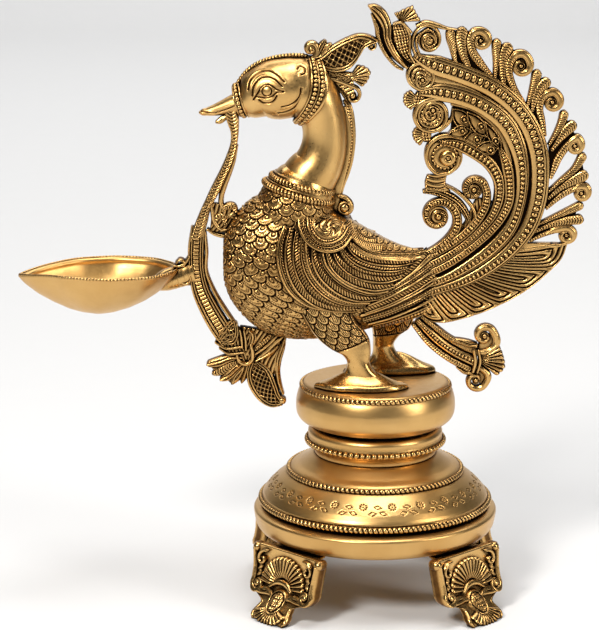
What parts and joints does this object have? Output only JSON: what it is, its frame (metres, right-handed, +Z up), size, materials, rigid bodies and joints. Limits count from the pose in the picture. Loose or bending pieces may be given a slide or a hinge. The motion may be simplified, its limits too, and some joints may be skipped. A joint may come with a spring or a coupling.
{
  "type": "standing oil lamp",
  "caption": "Cast brass swan oil lamp: leaf-shaped bowl hung from a beak garland, openwork tail fan, turned pedestal on cast feet.",
  "frame": {"origin": "on the floor, under the middle of the lamp's length and width; the pedestal's axis stands at X = +36.65 mm", "axes": "+Z up, -X towards the bird's beak and the bowl's spout, -Y towards the near side"},
  "size_m": [0.2837, 0.128, 0.2987],
  "materials": {
    "antique_brass": "antique, satin with dark recesses",
    "turned_brass": "satin turned",
    "fastener_brass": "dull"
  },
  "bodies": {
    "pedestal": {"foot_front_near": "antique_brass", "foot_front_far": "antique_brass", "foot_back_near": "antique_brass", "foot_back_far": "antique_brass", "foot_screws": "fastener_brass", "base_plate": "turned_brass", "dome": "turned_brass", "spool": "turned_brass", "tie_stud": "fastener_brass", "stud_washer": "fastener_brass", "stud_nut": "fastener_brass"},
    "washer": {"joint_washer": "fastener_brass"},
    "bird": {"pedestal_drum": "turned_brass", "leg_screws": "fastener_brass", "near_leg": "antique_brass", "far_leg": "antique_brass", "bird_body": "antique_brass", "near_wing": "antique_brass", "far_wing": "antique_brass", "neck_and_head": "antique_brass", "bridle": "antique_brass", "necklace_upper": "antique_brass", "necklace_lower": "antique_brass", "nape_cord": "antique_brass", "crest": "antique_brass", "beak_garland": "antique_brass", "garland_pendant": "antique_brass", "lamp_bowl": "antique_brass", "tail_root": "antique_brass", "tail_fan": "antique_brass", "under_tail_plume": "antique_brass"}
  },
  "joints": [
    {"name": "unscrew_lift", "type": "slide", "parent": "pedestal", "child": "washer", "axis": [0, 0, 1], "range_m": [0, 0.012]},
    {"name": "unscrew_turn", "type": "hinge", "parent": "washer", "child": "bird", "pos_m": [0.03665, 0, 0.0877], "axis": [0, 0, 1], "range_deg": [0, 2160]}
  ],
  "couplings": [
    {"joint": "unscrew_lift", "follows": "unscrew_turn", "m_per_rad": 0.00031831}
  ]
}
